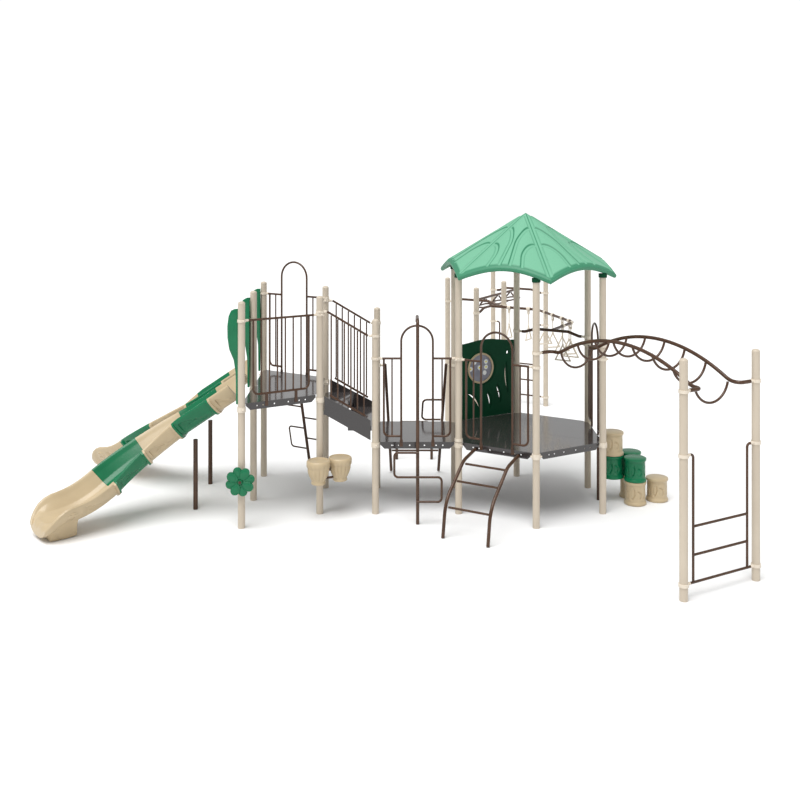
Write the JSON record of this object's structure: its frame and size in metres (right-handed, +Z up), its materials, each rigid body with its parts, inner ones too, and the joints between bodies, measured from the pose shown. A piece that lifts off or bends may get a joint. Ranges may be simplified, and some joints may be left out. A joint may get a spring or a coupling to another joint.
{
  "type": "playground structure",
  "caption": "Post-and-deck playground structure with low and high decks, two curved slides, climbers, an arched overhead ladder, swinging handles and a hexagonal roof.",
  "frame": {"origin": "on the ground under the middle of the bounding box of the whole structure", "axes": "+Z up, +Y from the climber side towards the overhead track, -X towards the slide exits"},
  "size_m": [8.3635, 9.2029, 3.836],
  "materials": {
    "post_paint": "satin powder coat",
    "clamp_paint": "satin powder coat",
    "brown_tube": "satin powder coat",
    "deck_steel": "plastic coated steel",
    "tan_plastic": "moulded",
    "green_plastic": "moulded",
    "roof_plastic": "moulded",
    "panel_plastic": "moulded",
    "disc_plastic": "printed sheet",
    "socket_paint": "satin powder coat"
  },
  "bodies": {
    "structure": {"slide_tower_posts": "post_paint", "square_deck_posts": "post_paint", "roof_posts": "post_paint", "arch_ladder_posts": "post_paint", "track_posts": "post_paint", "far_end_posts": "post_paint", "post_caps": "post_paint", "deck_clamps": "clamp_paint", "rail_clamps": "clamp_paint", "high_deck": "deck_steel", "square_deck": "deck_steel", "hex_deck_front": "deck_steel", "hex_deck_back": "deck_steel", "stair_treads": "deck_steel", "stair_stringers": "deck_steel", "stair_barriers": "brown_tube", "tower_barrier": "brown_tube", "hex_entry": "brown_tube", "pole_entry": "brown_tube", "stump_entry": "brown_tube", "tower_entry": "brown_tube", "slide_front_tan": "tan_plastic", "slide_front_green": "green_plastic", "slide_back_tan": "tan_plastic", "slide_back_green": "green_plastic", "slide_legs": "brown_tube", "slide_hoods": "green_plastic", "pole_climber": "brown_tube", "arched_climber": "brown_tube", "tower_ladder": "brown_tube", "back_climber": "brown_tube", "tan_stumps": "tan_plastic", "green_stumps": "green_plastic", "stump_leg": "brown_tube", "arch_ladder_rails": "brown_tube", "arch_ladder_rungs": "brown_tube", "right_end_ladder": "brown_tube", "far_end_ladder": "brown_tube", "header_bars": "brown_tube", "track_rail": "brown_tube", "track_hangers": "clamp_paint", "loop_ladder": "brown_tube", "play_panel": "panel_plastic", "window_ring": "tan_plastic", "window_disc": "disc_plastic", "drums": "tan_plastic", "drum_bracket": "brown_tube", "flower_axle": "brown_tube", "roof": "roof_plastic", "roof_sockets": "socket_paint"},
    "handle_1": {"swing_handle_1": "clamp_paint"},
    "handle_2": {"swing_handle_2": "clamp_paint"},
    "handle_3": {"swing_handle_3": "clamp_paint"},
    "handle_4": {"swing_handle_4": "clamp_paint"},
    "handle_5": {"swing_handle_5": "clamp_paint"},
    "handle_6": {"swing_handle_6": "clamp_paint"},
    "handle_7": {"swing_handle_7": "clamp_paint"},
    "handle_8": {"swing_handle_8": "clamp_paint"},
    "flower": {"flower_wheel": "green_plastic"}
  },
  "joints": [
    {"name": "handle_1_swing", "type": "hinge", "parent": "structure", "child": "handle_1", "pos_m": [2.6462, -0.16545, 2.058], "axis": [-0.866, 0.5, 0], "range_deg": [-28, 28]},
    {"name": "handle_2_swing", "type": "hinge", "parent": "structure", "child": "handle_2", "pos_m": [2.8097, 0.11774, 2.058], "axis": [-0.866, 0.5, 0], "range_deg": [-12, 28]},
    {"name": "handle_3_swing", "type": "hinge", "parent": "structure", "child": "handle_3", "pos_m": [2.81684, 0.3281, 2.058], "axis": [-0.9659, -0.2588, 0], "range_deg": [-28, 8]},
    {"name": "handle_4_swing", "type": "hinge", "parent": "structure", "child": "handle_4", "pos_m": [2.75213, 0.56958, 2.058], "axis": [-0.9659, -0.2588, 0], "range_deg": [-28, 28]},
    {"name": "handle_5_swing", "type": "hinge", "parent": "structure", "child": "handle_5", "pos_m": [2.66025, 0.91249, 2.058], "axis": [-0.9659, -0.2588, 0], "range_deg": [-28, 28]},
    {"name": "handle_6_swing", "type": "hinge", "parent": "structure", "child": "handle_6", "pos_m": [2.58131, 1.20709, 2.058], "axis": [-0.9659, -0.2588, 0], "range_deg": [-28, 28]},
    {"name": "handle_7_swing", "type": "hinge", "parent": "structure", "child": "handle_7", "pos_m": [2.36813, 1.59292, 2.058], "axis": [-0.5, -0.866, 0], "range_deg": [-28, 28]},
    {"name": "handle_8_swing", "type": "hinge", "parent": "structure", "child": "handle_8", "pos_m": [2.07368, 1.76292, 2.058], "axis": [-0.5, -0.866, 0], "range_deg": [-28, 28]},
    {"name": "flower_spin", "type": "hinge", "parent": "structure", "child": "flower", "pos_m": [-1.66305, -2.4105, 0.6], "axis": [0, -1, 0], "continuous": true}
  ]
}
